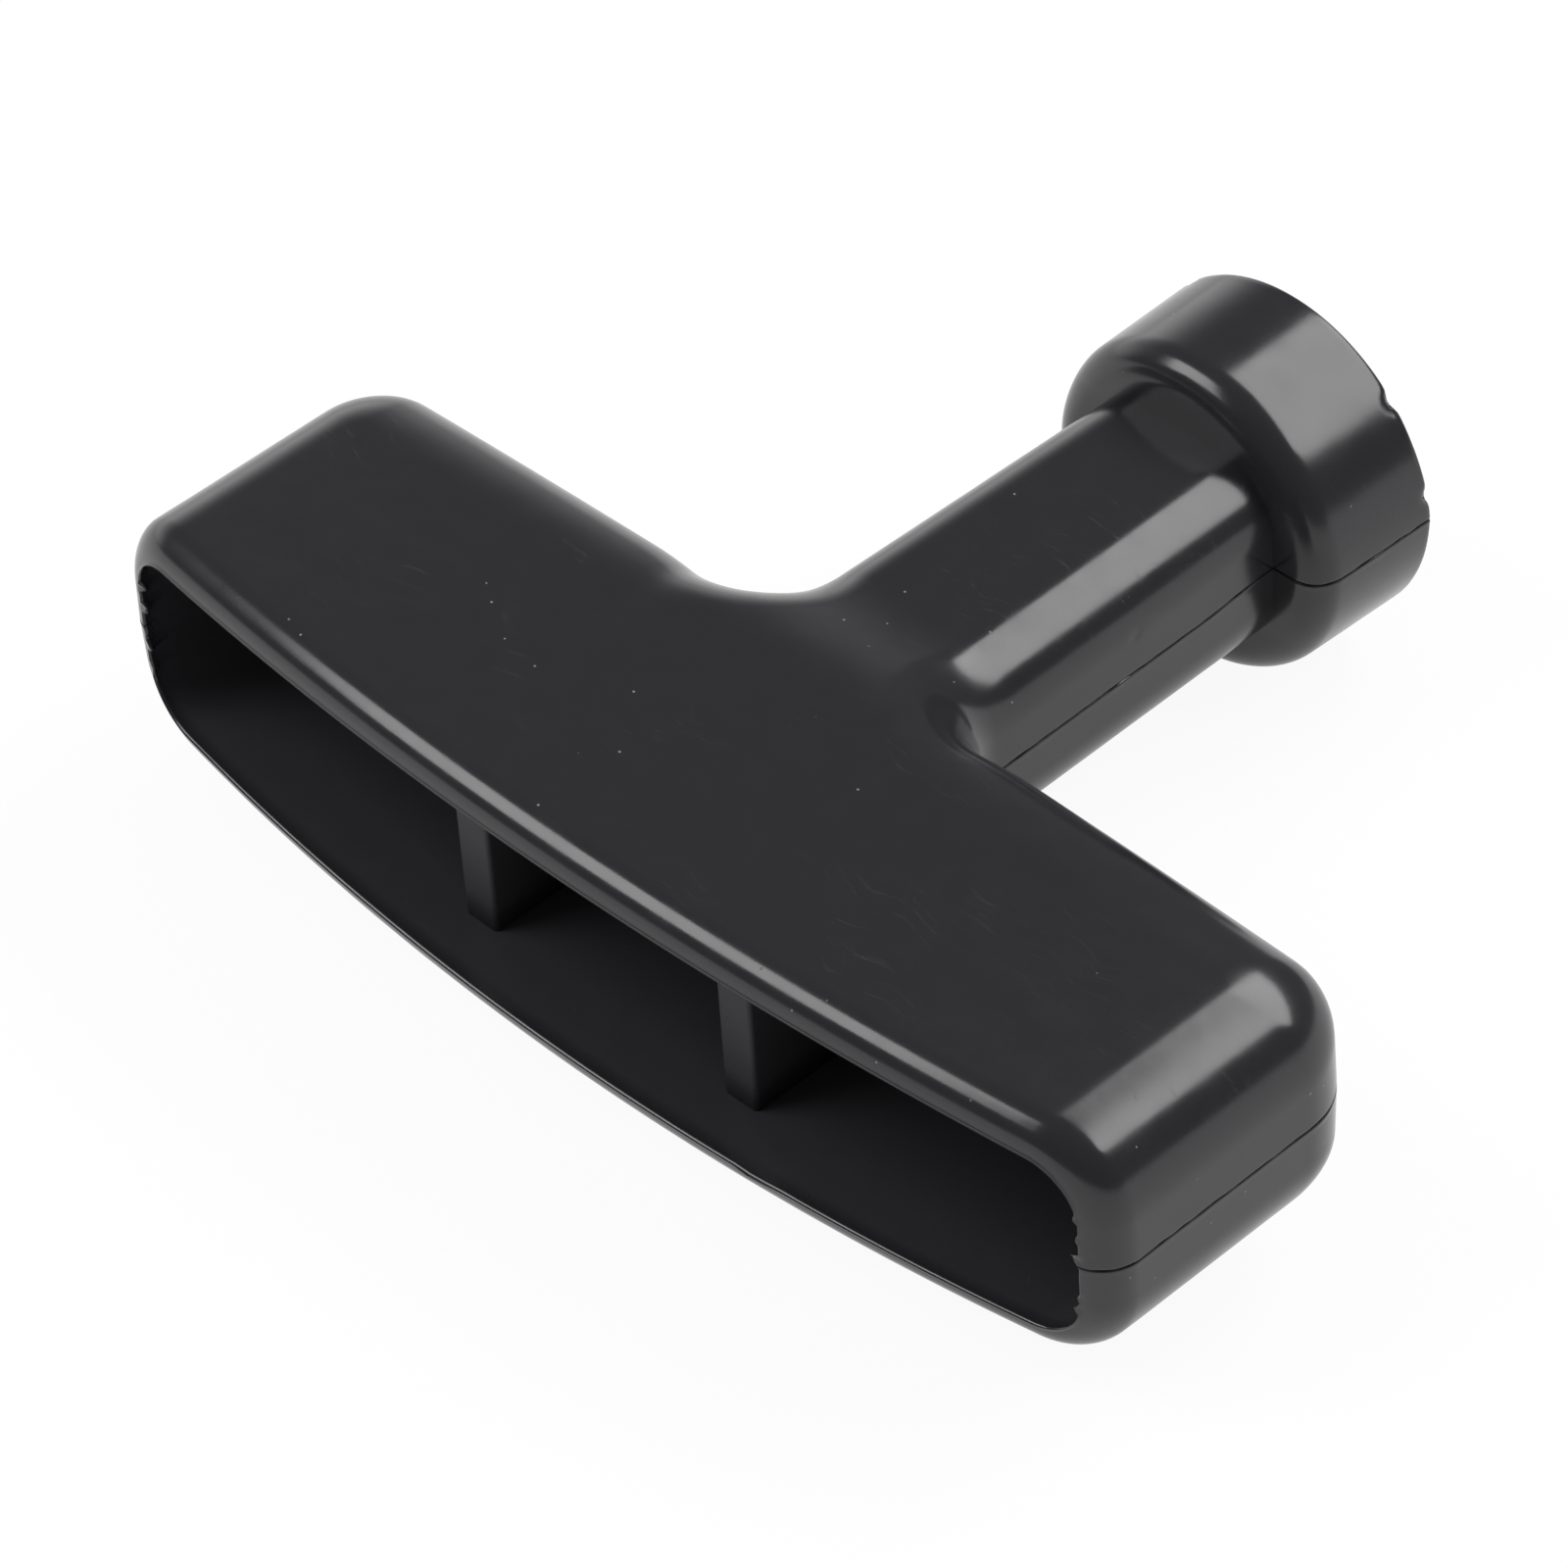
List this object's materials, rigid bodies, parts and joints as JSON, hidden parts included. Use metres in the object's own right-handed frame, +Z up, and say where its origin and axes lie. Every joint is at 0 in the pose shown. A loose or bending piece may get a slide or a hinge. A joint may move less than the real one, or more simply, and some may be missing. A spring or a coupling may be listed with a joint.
{
  "type": "recoil starter handle",
  "caption": "Moulded black T handle for a recoil starter: a hollow ribbed grip open to the front, a short stem and a round socketed collar, with a rope hole right through.",
  "frame": {"origin": "centre of the socket's mouth in the collar's end, on the rope's axis and the parting plane", "axes": "+X along the grip, +Y along the rope from the grip towards the starter, +Z up, square to the parting plane"},
  "size_m": [0.09, 0.0681, 0.0252],
  "materials": {
    "black_plastic": "satin injection-moulded black plastic"
  },
  "bodies": {
    "root": {"handle": "black_plastic"}
  },
  "joints": []
}
